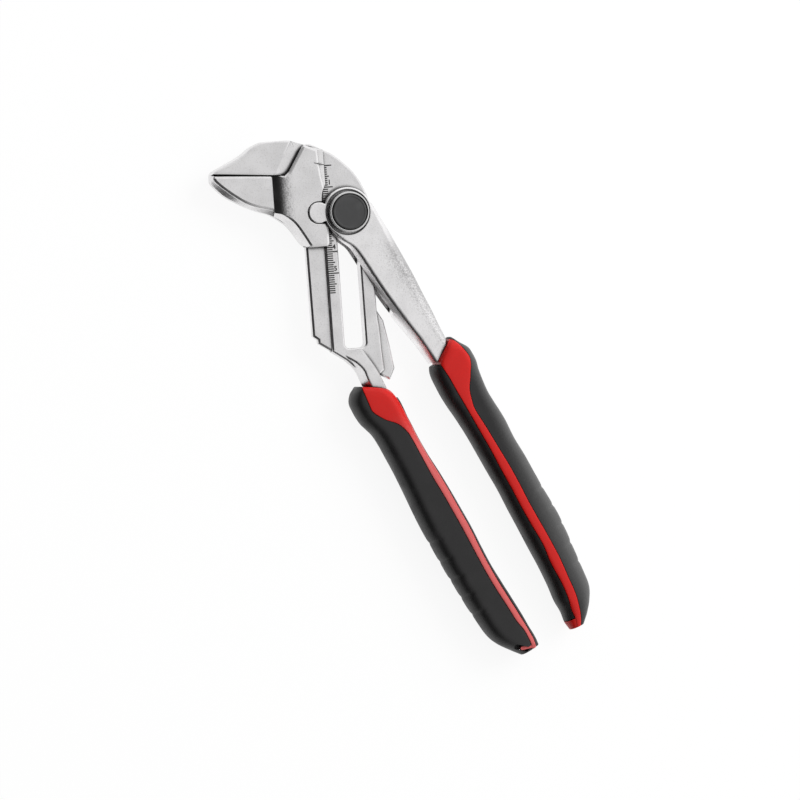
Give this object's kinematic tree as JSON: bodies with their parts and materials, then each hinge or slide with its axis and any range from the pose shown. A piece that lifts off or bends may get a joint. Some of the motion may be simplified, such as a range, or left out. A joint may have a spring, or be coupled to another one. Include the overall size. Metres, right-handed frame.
{
  "type": "pliers wrench",
  "caption": "Adjustable pliers with smooth parallel jaws, a slotted guide with a push-button lock, a cam-driven sliding jaw and two-colour moulded grips.",
  "frame": {"origin": "pivot axis in the plane on which the tool rests", "axes": "+X along the slotted guide towards the grips, +Y to the lever's side, +Z out of the front face"},
  "size_m": [0.2467, 0.1664, 0.0206],
  "materials": {
    "forged_steel": "satin chrome-plated forged steel",
    "button_steel": "turned bright steel",
    "disc_black": "dark grey satin disc",
    "grip_red": "satin moulded red plastic",
    "grip_black": "matte moulded soft rubber"
  },
  "bodies": {
    "fixed_side": {"fixed_handle": "forged_steel", "left_grip_core": "grip_red", "left_palm_shell": "grip_black", "left_inner_pad": "grip_black"},
    "carriage": {"spring_washer": "button_steel", "return_spring": "button_steel"},
    "lever": {"pivot_handle": "forged_steel", "right_grip_core": "grip_red", "right_palm_shell": "grip_black", "right_inner_pad": "grip_black", "rear_cover": "button_steel"},
    "jaw": {"sliding_jaw": "forged_steel"},
    "button": {"locking_bolt": "button_steel", "push_button": "button_steel", "button_screw": "button_steel", "button_disc": "disc_black"}
  },
  "joints": [
    {"name": "jaw_adjust", "type": "slide", "parent": "fixed_side", "child": "carriage", "axis": [1, 0, 0], "range_m": [0, 0.036]},
    {"name": "handle_pivot", "type": "hinge", "parent": "carriage", "child": "lever", "pos_m": [0, 0, 0.009], "axis": [0, 0, 1], "range_deg": [0, 28]},
    {"name": "jaw_stroke", "type": "slide", "parent": "carriage", "child": "jaw", "axis": [1, 0, 0], "range_m": [0, 0.00655]},
    {"name": "button_press", "type": "slide", "parent": "carriage", "child": "button", "axis": [0, 0, -1], "range_m": [0, 0.0022], "stiffness_N_per_m": 1500, "springref_m": -0.001, "deforming": ["return_spring"]}
  ],
  "couplings": [
    {"joint": "jaw_stroke", "follows": "handle_pivot", "m_per_rad": 0.013402}
  ]
}
